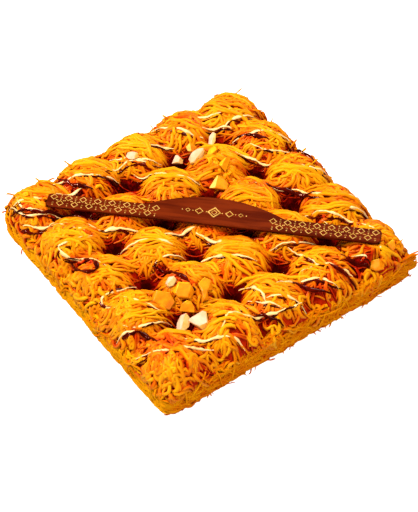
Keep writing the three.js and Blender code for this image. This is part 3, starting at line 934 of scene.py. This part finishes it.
def fan_strand(middle, facing):
    t = np.linspace(0, 1, 9)
    turn = facing + rng.uniform(-1.5, 1.5)
    near = rng.uniform(4, 15)
    out = near + t * rng.uniform(12, 20)
    sway = turn + rng.normal(0, 0.3) * (t - 0.5)
    sway = sway + 0.09 * np.sin(t * rng.uniform(4, 8) + rng.uniform(0, 6))
    x = middle[0] + out * np.cos(sway)
    y = middle[1] + out * np.sin(sway)
    beyond = np.maximum(0, 0.2 - margin(x, y))
    x = x * (1 - beyond / np.hypot(x, y))
    y = y * (1 - beyond / np.hypot(x, y))
    run = longest_run(off_the_pits(x, y))
    if run.stop - run.start < 4 or beyond.max() > rng.uniform(1, 9):
        return None
    layer = rng.random()
    lift = 0.1 + 2.0 * layer - 1.2 * tips(9, 8)
    z = crust(x, y) + lift - beyond * DROOP
    width = STRAND * rng.uniform(1.1, 1.7)
    # Painted shade: strands lying lower are darker.
    tone = (0.42 + 0.42 * layer + rng.normal(0, 0.07)) * (OVER_RIM_TONE if beyond.max() > 0 else 1)
    return strand(np.stack([x, y, z], 1)[run], width, tone)


tangles = []
for middle in mound_middles:
    tangles += several(FAN_FRONT, fan_strand, middle, TO_VIEWER)
    tangles += several(FAN_BACK, fan_strand, middle, TO_VIEWER + math.pi)

# %% Tangles at the border
BORDER_LOOPS = 270
CORNER_CURLS, CORNER = 52, (114, -118)
FRONT_CURLS, FRONT_RIM = 200, (-124, 112, -119)
STRAYS, STRAY_REACH = 9, 18
LOWEST = 1.5


def tangle(x0, y0, steps, step, curl, low, high, width, tone, darken):
    """One walk; low and high bound its height, and width and tone are bounds too."""
    swing = rng.normal(0, curl)
    phase = rng.uniform(0, 2 * math.pi)
    turns = rng.normal(0, curl) + swing * np.sin(np.arange(steps) * 0.6 + phase)
    heading = rng.uniform(0, 2 * math.pi) + np.cumsum(turns) * step
    x = x0 + np.cumsum(np.cos(heading)) * step
    y = y0 + np.cumsum(np.sin(heading)) * step
    x, y, beyond = pull_in(x, y, -0.3)
    layer = rng.random()
    lift = low + (high - low) * layer - 1.5 * tips(steps, 8)
    z = crust(x, y) + lift - np.minimum(beyond, 6) * 1.5
    # Painted shade: strands lying lower are darker.
    shade = tone[0] + (tone[1] - tone[0]) * layer + rng.normal(0, 0.08)
    points = np.stack([x, y, np.maximum(z, LOWEST)], 1)
    return strand(points, STRAND * rng.uniform(*width), shade, darken=darken)


def tangled(places, steps, step, curl, low, high, width, tone, darken=True):
    """A walk from each place. Places come one at a time, between the random draws."""
    return [tangle(*place, steps, step, curl, low, high, width, tone, darken) for place in places]


def border_places(count):
    for _ in range(count):
        x, y, nx, ny = side_point(rng.uniform(0, PERIMETER))
        inward = rng.uniform(-1, 13)
        yield x - nx * inward, y - ny * inward


corner_places = ((rng.normal(CORNER[0], 9), rng.normal(CORNER[1], 8)) for _ in range(CORNER_CURLS))
front_places = ((rng.uniform(*FRONT_RIM[:2]), rng.normal(FRONT_RIM[2], 6)) for _ in range(FRONT_CURLS))
stray_middles = np.repeat(mound_middles, STRAYS, axis=0)
stray_places = (middle + rng.uniform(-STRAY_REACH, STRAY_REACH, 2) for middle in stray_middles)
tangles += tangled(border_places(BORDER_LOOPS), 9, 2.3, 0.26, 1.0, 3.0, (1.2, 1.7), (0.6, 0.95))
tangles += tangled(corner_places, 8, 2.2, 0.42, 0.8, 2.6, (1.6, 2.0), (0.62, 0.86), darken=False)
tangles += tangled(front_places, 8, 2.2, 0.40, 0.8, 2.6, (1.4, 1.9), (0.60, 0.86))
tangles += tangled(stray_places, 5, 2.4, 0.3, 1.2, 3.0, (0.9, 1.4), (0.6, 1.0))
tangle_piece = sweep_lines("strands_tangled", tangles, PASTRY, step=2.6, sides=6, crinkle=1.6)

# %% [markdown]
# The walls were pressed flat by the baking pan: fine strands run round the slab,
# dense and nearly level, with some that slant. Fatter strands drape over the rim and
# part of the way down. The wall strands that face the front left are painted lighter,
# as painted light from the brightest lamp, and those further in are darker, as painted
# shade.

# %% Strands pressed into the walls
WALL_STRANDS = 2300
WALL_LOW, WALL_HIGH = 1.0, 25
DRAPED = 120
OVER_RIM = 0.4


def wall_strand():
    t = np.linspace(-1, 1, 9)
    layer = rng.random()
    angle = rng.normal(0, 0.45)
    half = rng.uniform(5, 13)
    run = rng.uniform(0, PERIMETER) + t * half * math.cos(angle)
    level = rng.uniform(1, 26) + t * half * math.sin(angle) + rng.normal(0, 3) * t ** 2
    level = level + rng.normal(0, 1.0) * np.sin(t * rng.uniform(2, 6) + rng.uniform(0, 2 * math.pi))
    level = np.clip(level, WALL_LOW, WALL_HIGH)
    out = -0.8 + 1.1 * layer - 1.3 * tips(9, 8) - np.maximum(0, level - 19) ** 2 * 0.09
    width = STRAND * rng.uniform(0.75, 1.25)
    # Painted light on the wall that faces the brightest lamp, and painted shade on strands further in.
    painted_light_share = max(0, -side_point(run)[3][4])
    tone = 0.58 + 0.2 * layer + 0.30 * painted_light_share + rng.normal(0, 0.07)
    return strand(off_side(run, out, level), width, tone, darken=False)


def draped_strand():
    u = np.linspace(0, 1, 12)
    run = rng.uniform(0, PERIMETER) + (u - OVER_RIM) * rng.normal(0, 26)
    drop = rng.uniform(5, 24)
    inward = np.clip(OVER_RIM - u, 0, 1) / OVER_RIM * rng.uniform(2, 8)
    down = np.clip(u - OVER_RIM, 0, 1) / (1 - OVER_RIM)
    points = off_side(run, 0.4 + rng.uniform(0, 0.9) - inward - 1.2 * down ** 6, u)
    top = np.minimum(crust(*points[:, :2].T), RIM_LEVEL + 2 + inward * 1.4) + 0.6
    points[:, 2] = np.maximum(top - down * drop, LOWEST)
    width = STRAND * rng.uniform(0.7, 1.1)
    return strand(points, width, rng.uniform(0.65, 0.95), darken=False)


wall_piece = sweep_lines("strands_walls", several(WALL_STRANDS, wall_strand), DRY,
                         step=3.0, sides=5, crinkle=1.4, flatness=0.8, depth=0.25)
drape_piece = sweep_lines("strands_draped", several(DRAPED, draped_strand), DRY,
                          step=3.2, sides=6, crinkle=1.4, flatness=0.8, depth=0.3)

# %% [markdown]
# Some strands stay taut and bridge the hollows from mound to mound. They follow a far
# more blurred height map, which lies above the crust wherever there is a hollow, and
# the higher of the two maps counts. Only a few cross a pit.

# %% Bridges
BRIDGES = 360
OVER_PIT_SHARE = 0.15


def bowed(turn, half, room, sag, count):
    """A line across the slab, bowed to one side, with its middle anywhere in a square."""
    t = np.linspace(-1, 1, count)
    x0, y0 = rng.uniform(-room, room, 2)
    bend = rng.normal(0, sag)
    x = x0 + math.cos(turn) * t * half - math.sin(turn) * bend * (1 - t ** 2)
    y = y0 + math.sin(turn) * t * half + math.cos(turn) * bend * (1 - t ** 2)
    return x, y


def bridge():
    x, y = bowed(DIAGONAL + rng.normal(0, 0.35), rng.uniform(20, 48), HALF - 12, 5, 17)
    over_a_pit = (crust(x, y) < PIT_EDGE + 2) & (rng.random() > OVER_PIT_SHARE)
    run = longest_run((margin(x, y) > 5) & ~over_a_pit)
    x, y = x[run], y[run]
    if len(x) < 6:
        return None
    slack = rng.uniform(-7, -1)
    z = np.maximum(crust(x, y) + 0.9, sample(taut, x, y) + slack) - 1.5 * tips(len(x), 8)
    width = STRAND * rng.uniform(0.7, 1.25)
    return strand(np.stack([x, y, z], 1), width, rng.uniform(0.42, 0.80))


loose = several(BRIDGES, bridge)
loose_piece = sweep_lines("strands_loose", loose, PASTRY, step=3.2, sides=6, crinkle=1.6)

# %% [markdown]
# Thin ends stand off the slab all round: spikes on the far mounds, wisps at two
# levels of the walls, hooks at their foot, most of them on the right one, and strands
# that stand off beyond the right corner.

# %% Wisps and hairs at the edges
SPIKES, HIGH_WISPS, LOW_WISPS, HOOKS, FLARES = 16, 20, 14, 30, 34
FAR_SIDES = (0.125, 0.625)
RIGHT_SIDE = (0.875, 1.125)


def spike():
    u = np.linspace(0, 1, 7)
    run = PERIMETER * rng.uniform(*FAR_SIDES) + u * rng.normal(0, 4)
    points = off_side(run, -15 + u * rng.uniform(6, 13), u)
    points[:, 2] = crust(*points[0, :2]) + u ** 0.8 * rng.uniform(2, 7)
    return strand(points, rng.uniform(0.6, 1.0), rng.uniform(0.75, 1.0), taper=0.2, darken=False)


def wisp(low, high, thin, thick):
    u = np.linspace(0, 1, 9)
    level = rng.uniform(low, high)
    run = rng.uniform(0, PERIMETER) + u * rng.normal(0, 12)
    out = -2 + np.sin(u * math.pi * rng.uniform(0.5, 1.0)) * rng.uniform(3, 6)
    z = level + u * rng.normal(0, 5) + np.sin(u * 4) * rng.normal(0, 2)
    points = off_side(run, out, np.maximum(z, 0.6))
    return strand(points, rng.uniform(thin, thick), rng.uniform(0.7, 0.95), darken=False)


def hook(part):
    u = np.linspace(0, 1, 8)
    run = PERIMETER * rng.uniform(*part) + rng.normal(0, 4) * u + rng.normal(0, 3) * u ** 2
    out = -1 + u * rng.uniform(2, 8)
    z = 0.7 + rng.uniform(0, 4) * (1 - u) ** 2 + np.sin(u * math.pi) * rng.uniform(0, 2)
    points = off_side(run, out, z)
    return strand(points, rng.uniform(0.45, 0.75), rng.uniform(0.5, 0.75), darken=False)


def flare():
    u = np.linspace(0, 1, 9)
    start = rng.uniform(88, 112)
    reach = HALF + 8 * rng.random() ** 1.6 - start
    level = rng.uniform(8, 27)
    x = HALF + 0.5 + rng.uniform(0, 1.5) + u ** 3 * rng.uniform(0, 4)
    z = level + u * rng.normal(1, 2.5) + u ** 3 * rng.uniform(0, 3)
    width = STRAND * rng.uniform(0.6, 1.0)
    return strand(np.stack([x, start + u * reach, z], 1), width, rng.uniform(0.65, 0.9), darken=False)


hairs = several(SPIKES, spike)
hairs += several(HIGH_WISPS, wisp, 16, 26, 0.6, 0.9)
hairs += several(LOW_WISPS, wisp, 1, 8, 0.4, 0.6)
hairs += [hook((0, 1) if k % 4 == 0 else RIGHT_SIDE) for k in range(HOOKS)]
hairs += several(FLARES, flare)
wisp_piece = sweep_lines("strands_wisps", hairs, DRY, step=2.4, sides=5, crinkle=2.0, flatness=0.9, depth=0.2)

# %% [markdown]
# The underside was pressed flat on the pan. Strands lie there in every direction, each
# one resting on the ground.

# %% The underside
UNDER_STRANDS = 620


def under_strand():
    x, y = bowed(rng.uniform(0, math.pi), rng.uniform(20, 50), HALF, 9, 9)
    inner = margin(x, y) > 1.5
    if inner.sum() < 4:
        return None
    width = STRAND * rng.uniform(0.55, 0.85)
    points = np.stack([x[inner], y[inner], np.full(inner.sum(), width)], 1)
    return strand(points, width, rng.uniform(0.35, 0.6), darken=False)


underside_piece = sweep_lines("strands_underside", several(UNDER_STRANDS, under_strand), PASTRY,
                              step=8, sides=5, crinkle=0.0, flatness=0.7)

# %% [markdown]
# The drizzle goes on top of the strands, so it needs a map of their upper surface: the
# highest strand over each cell or beside it, blurred once. Ropes follow the strokes.
# They trail off in thin threads, stay out of the pits, sink between the strands here
# and there, and often have a round blob where the piping stopped. A thin dark line of
# sauce follows every white one, on the side of the viewer.

# %% The upper surface of the strands
drape = smooth.copy()
for points, thick, _ in upper + tangles + loose:
    count = len(points)
    fine = np.linspace(0, count - 1, count * 3)
    x, y, z = [np.interp(fine, np.arange(count), points[:, c]) for c in range(3)]
    i = np.clip(np.rint((x - axis[0]) / CELL), 0, len(axis) - 1).astype(int)
    j = np.clip(np.rint((y - axis[0]) / CELL), 0, len(axis) - 1).astype(int)
    np.maximum.at(drape, (i, j), z + thick[0] * 0.6)
highest = with_neighbours(np.maximum, drape, [(1, 0), (-1, 0), (0, 1), (0, -1)])
drape = np.where(smooth > PIT_EDGE, blur(highest, 1), drape)

# %% Sauce and white drizzle
FATTEST = 2.6
SINK = 1.3
CREAM_WIDTH = (0.75, 1.3)
SAUCE_WIDTH = (1.3, 1.9)
THIN_WIDTH = (0.6, 1.05)


def with_tails(stroke, tail):
    """The turning points with one more at each end, where a thin thread trails off."""
    corners = np.array(stroke, float)
    first = corners[0] - corners[1]
    last = corners[-1] - corners[-2]
    for way in (first, last):
        way *= tail * rng.uniform(0.6, 1.2) / np.linalg.norm(way)
        way += way[::-1] * (1, -1) * rng.normal(0, 0.3)
    return np.vstack([corners[0] + first, corners, corners[-1] + last])


def rope(stroke, width, lift, shift=0.0, tail=9.0):
    plan = plan_of(with_tails(stroke, tail)) + ACROSS * shift
    plan = plan[longest_run((margin(*plan.T) > -0.5) & off_the_pits(*plan.T))]
    count = len(plan)
    wobble = np.cumsum(rng.normal(0, 0.35, (count, 2)), axis=0)
    x, y = (plan + wobble - np.linspace(0, 1, count)[:, None] * wobble[-1]).T
    sunk = SINK * np.clip(np.sin(np.arange(count) * rng.uniform(0.3, 0.6) + rng.uniform(0, 6)), 0, 1)
    z = even_out(sample(drape, x, y) + lift - sunk, 2)
    points, thick, shade = strand(np.stack([x, y, z], 1), width, 0.5, taper=1.0)
    phase = rng.uniform(0, 2 * math.pi)
    uneven = 1 + 0.28 * np.sin(np.arange(count) * 0.8 + phase) + rng.normal(0, 0.12, count)
    run = np.linspace(0, 1, count)
    body = 0.35 + 0.85 * np.sin(math.pi * run ** rng.uniform(0.7, 1.5)) ** 1.3
    blob = 1 + rng.uniform(0, 0.9) * np.exp(-((run - rng.uniform(0.72, 0.9)) / 0.06) ** 2)
    thick = np.minimum(thick * uneven * body * blob, FATTEST)
    points[:, 2] = np.minimum(points[:, 2], BOX_HIGH[2] - ROOM_ABOVE[2] - thick)
    return points, thick, shade


cream = [rope(stroke, rng.uniform(*CREAM_WIDTH), 0.1) for stroke in CREAM_STROKES]
cream_piece = sweep_lines("drizzle_white", cream, CREAM, step=1.3, sides=8, crinkle=0.6, flatness=0.6)
sauce = [rope(stroke, rng.uniform(*SAUCE_WIDTH), 1.0, tail=6.0) for stroke in DARK_STROKES]
sauce += [rope(stroke, rng.uniform(*THIN_WIDTH), -0.3, rng.uniform(1.6, 3)) for stroke in CREAM_STROKES]
sauce_piece = sweep_lines("drizzle_dark", sauce, SAUCE, step=1.3, sides=8, crinkle=0.8, flatness=0.7)

# %% [markdown]
# The almonds keep the place and the form of their solids. A copy of each mesh has its
# loose triangles merged, its flat faces joined, two upper corners cut off as a knife
# does, and its edges rounded. Blanched ones are creamy and the others glazed golden,
# and the faces that turn from the light are painted darker and warmer, as painted
# shade. On three almonds even the tops get that painted shade.

# %% Almonds
PALE_ALMONDS = (1, 6, 7, 9, 11, 12, 13)
SHADED_TOPS = (3, 4, 5)
TO_LIGHT = Vector((-0.45, -0.25, 0.86))
ALMOND_EDGE, PLAQUE_EDGE = 0.3 * MM, 0.5 * MM
FLAT_FACE = 4e-6
knife = np.random.default_rng(4)


def chip(shape, turn):
    """Cut one upper corner away with a slanting plane, as a knife does."""
    lean = knife.uniform(0.5, 0.95)
    way = Vector((math.cos(turn) * math.sin(lean), math.sin(turn) * math.sin(lean), math.cos(lean)))
    reach = max(v.co.dot(way) for v in shape.verts) - knife.uniform(1.2, 2.6) * MM
    everything = shape.verts[:] + shape.edges[:] + shape.faces[:]
    cut = bmesh.ops.bisect_plane(shape, geom=everything, plane_co=way * reach, plane_no=way, clear_outer=True)
    rim_edges = [e for e in cut["geom_cut"] if isinstance(e, bmesh.types.BMEdge)]
    bmesh.ops.contextual_create(shape, geom=rim_edges)


def rounded_copy(name, node, radius, material, chips=()):
    shape = bmesh.new()
    shape.from_mesh(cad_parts[node].data)
    bmesh.ops.remove_doubles(shape, verts=shape.verts, dist=1e-6)
    bmesh.ops.dissolve_limit(shape, angle_limit=0.02, verts=shape.verts, edges=shape.edges)
    for turn in chips:
        chip(shape, turn)
    bmesh.ops.recalc_face_normals(shape, faces=shape.faces)
    bmesh.ops.bevel(shape, geom=shape.edges[:], offset=radius, segments=2, profile=0.6, affect="EDGES")
    mesh = bpy.data.meshes.new(name)
    shape.to_mesh(mesh)
    shape.free()
    mesh.polygons.foreach_set("use_smooth", [face.area < FLAT_FACE for face in mesh.polygons])
    mesh.materials.append(material)
    return add_piece(name, mesh)


def paint_shaded_sides(piece, material, level, away):
    """Give the faces that turn from one direction a darker material of their own, as painted shade."""
    piece.data.materials.append(material)
    for face in piece.data.polygons:
        face.material_index = int(face.normal.dot(away) < level)


almond_pieces = []
for node in sorted(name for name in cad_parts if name.startswith("almond")):
    number = int(node[-2:])
    pale = number in PALE_ALMONDS
    chips = TO_VIEWER + knife.normal((-1.1, 1.0), 0.5)
    piece = rounded_copy(node + "_piece", node, ALMOND_EDGE, PALE if pale else GOLDEN, chips)
    # Painted shade on the faces that turn from the light.
    level = 0.5 if pale else 0.93 if number in SHADED_TOPS else 0.78
    paint_shaded_sides(piece, PALE_ALMOND_SHADE if pale else ALMOND_SHADE, level, TO_LIGHT)
    almond_pieces.append((piece, node, "pale_almond" if pale else "golden_almond"))

# %% [markdown]
# The plaque is a thin bar of chocolate with a bowed back edge. Its solid has the right
# form, so a copy with softer edges does. On both ends it has a gold print of open
# diamonds in two staggered rows, with dots between them. The middle gets a few larger
# diamonds. Geometry Nodes put a ring or a dot on each point of a point list.

# %% The plaque
PLAQUE_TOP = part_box("plaque")[1][2] / MM
PRINT_PITCH = 12.9
FRONT_ROW, BACK_ROW = 1.4, 8.4
BETWEEN_ROWS = (FRONT_ROW + BACK_ROW) / 2
PRINT_ENDS = ((-134, -42), (62, 152))
DIAMOND, SPECK, DOT = 3.1, 0.9, 0
MIDDLE_ROW = -1
MIDDLE_DIAMONDS = ((9.5, 5.5), (9.5, 2.6), (-4, 3.4), (23, 3.4), (-14, 2.0), (33, 2.0))
MIDDLE_DOTS = (2.5, 16.5, -9.5, 28.5, -19, 38)
plaque_piece = rounded_copy("plaque_piece", "plaque", PLAQUE_EDGE, CHOCOLATE)
# The sides get a darker, glossier chocolate: the darkness is painted shade.
paint_shaded_sides(plaque_piece, PLAQUE_SIDE_SHADE, 0.5, Vector((0, 0, 1)))


def print_points():
    """Places along the plaque and across it, each with a diamond's size or 0 for a dot."""
    places = []
    for left, right in PRINT_ENDS:
        count = round((right - left) / PRINT_PITCH)
        pitch = (right - left) / count
        for k in range(count + 1):
            s = left + k * pitch
            places.append((s, FRONT_ROW, DIAMOND))
            if k < count:
                half_way = s + pitch / 2
                places += [(half_way, BACK_ROW, DIAMOND), (half_way, FRONT_ROW, SPECK)]
                for part in (0.2, 0.3, 0.7, 0.8):
                    places.append((s + pitch * part, BETWEEN_ROWS + 4 * (0.25 - abs(part - 0.5)), DOT))
                places += [(half_way, FRONT_ROW - 2.6, DOT), (half_way, FRONT_ROW + 2.2, DOT)]
            places += [(s, BACK_ROW, SPECK), (s, BACK_ROW + 2.4, DOT)]
    places += [(s, MIDDLE_ROW, size) for s, size in MIDDLE_DIAMONDS]
    return places + [(s, MIDDLE_ROW, DOT) for s in MIDDLE_DOTS]


# %% The tree that prints diamonds and dots
def print_tree():
    tree, names, start = new_tree("print_diamonds", {"Line": 0.15, "Dot": 0.0006})
    size = put(tree, "GeometryNodeInputNamedAttribute", {"Name": "size"}, data_type="FLOAT")
    is_ring = put(tree, "FunctionNodeCompare", {"B": 0.0001}, data_type="FLOAT", operation="GREATER_THAN")
    is_dot = put(tree, "FunctionNodeBooleanMath", operation="NOT")
    diamond = put(tree, "GeometryNodeCurvePrimitiveCircle", {"Resolution": 4, "Radius": 1.0})
    line = put(tree, "GeometryNodeCurvePrimitiveCircle", {"Resolution": 6})
    ring = put(tree, "GeometryNodeCurveToMesh")
    rings = put(tree, "GeometryNodeInstanceOnPoints")
    dot = put(tree, "GeometryNodeMeshIcoSphere", {"Subdivisions": 2})
    dots = put(tree, "GeometryNodeInstanceOnPoints", {"Scale": (1.0, 1.0, 0.4)})
    both = put(tree, "GeometryNodeJoinGeometry")
    turned = put(tree, "GeometryNodeTransform", {"Rotation": (0.0, 0.0, DIAGONAL)})
    chain(tree, size, "Attribute>A", is_ring, "Result>0", is_dot, "Boolean>Selection", dots)
    chain(tree, start, "Line>Radius", line, "Curve>Profile Curve", ring, "Mesh>Instance", rings)
    chain(tree, diamond, "Curve>Curve", ring)
    chain(tree, is_ring, "Result>Selection", rings)
    chain(tree, size, "Attribute>Scale", rings)
    chain(tree, start, "Dot>Radius", dot, "Mesh>Instance", dots)
    for shapes in (rings, dots):
        chain(tree, start, "Geometry>Points", shapes, "Instances>Geometry", both)
    chain(tree, both, "Geometry>Geometry", turned)
    end_tree(tree, start, turned, "Geometry>Geometry")
    return tree, names


def gold_print():
    places = print_points()
    level = PLAQUE_TOP - 0.05
    mesh = bpy.data.meshes.new("print_points")
    mesh.from_pydata([(s * MM, -t * MM, level * MM) for s, t, _ in places], [], [])
    mark(mesh, "size", [size * MM for _, _, size in places])
    return add_piece("plaque_print", run_tree("print_points", mesh, print_tree(), {"Material": GOLD}))


print_piece = gold_print()

# %% [markdown]
# The stage is a white floor under soft lights. The brightest light stands beyond the
# slab's left corner, so the front left wall is lighter than the front right one, and
# the strands of that wall are painted lighter as well. The floor glows a little, which
# lights the walls from below. The sky looks as white as the floor, but it lights the
# slab far less, so that dark sauce stays dark: a Light Path node gives camera rays a
# brighter sky than all the others.

# %% Floor, lights and sky
SKY_LIGHT = 0.10
SKY_SEEN = 1.1
FLOOR_HALF = 3
floor_mesh = bpy.data.meshes.new("floor")
floor_corners = [(x * FLOOR_HALF, y * FLOOR_HALF, 0) for x, y in ((-1, -1), (1, -1), (1, 1), (-1, 1))]
floor_mesh.from_pydata(floor_corners, [], [(0, 1, 2, 3)])
floor_mesh.materials.append(FLOOR)
floor = bpy.data.objects.new("floor", floor_mesh)
scene.collection.objects.link(floor)
floor.visible_glossy = False


def soft_light(name, place, size, power, mirrored=True):
    data = bpy.data.lights.new(name, "AREA")
    data.shape = "DISK"
    data.size = size
    data.energy = power
    light = bpy.data.objects.new(name, data)
    light.location = place
    light.visible_glossy = mirrored
    light.rotation_euler = (-Vector(place)).to_track_quat("-Z", "Y").to_euler()
    scene.collection.objects.link(light)


soft_light("key", (-0.9, -0.9, 1.3), 0.35, 75)
soft_light("back", (-0.6, 1.2, 1.1), 0.8, 19)
soft_light("fill", (1.4, -0.4, 0.9), 1.2, 31, mirrored=False)
soft_light("top", (0.1, 0.1, 1.5), 0.9, 40, mirrored=False)
world = bpy.data.worlds.new("sky")
world.use_nodes = True
sky = world.node_tree.nodes["Background"]
fill(sky, {"Color": (1, 1, 1, 1)})
ray = put(world.node_tree, "ShaderNodeLightPath")
brightness = put(world.node_tree, "ShaderNodeMapRange", {"To Min": SKY_LIGHT, "To Max": SKY_SEEN})
chain(world.node_tree, ray, "Is Camera Ray>Value", brightness, "Result>Strength", sky)
scene.world = world
scene.view_settings.view_transform = "Standard"

# %% [markdown]
# Last, each piece rides on the one body of the slab, and the solids that the pieces
# replace are hidden.

# %% Ride, and hide the replaced solids
strands = [lower_piece, upper_piece, tangle_piece, wall_piece, drape_piece, loose_piece]
strands += [wisp_piece, underside_piece]
for piece in [core, *strands, cream_piece, sauce_piece, plaque_piece, print_piece]:
    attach(piece, "root")
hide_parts("pastry_slab")
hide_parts("plaque")
for piece, node, slot in almond_pieces:
    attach(piece, "root")
    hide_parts(node)
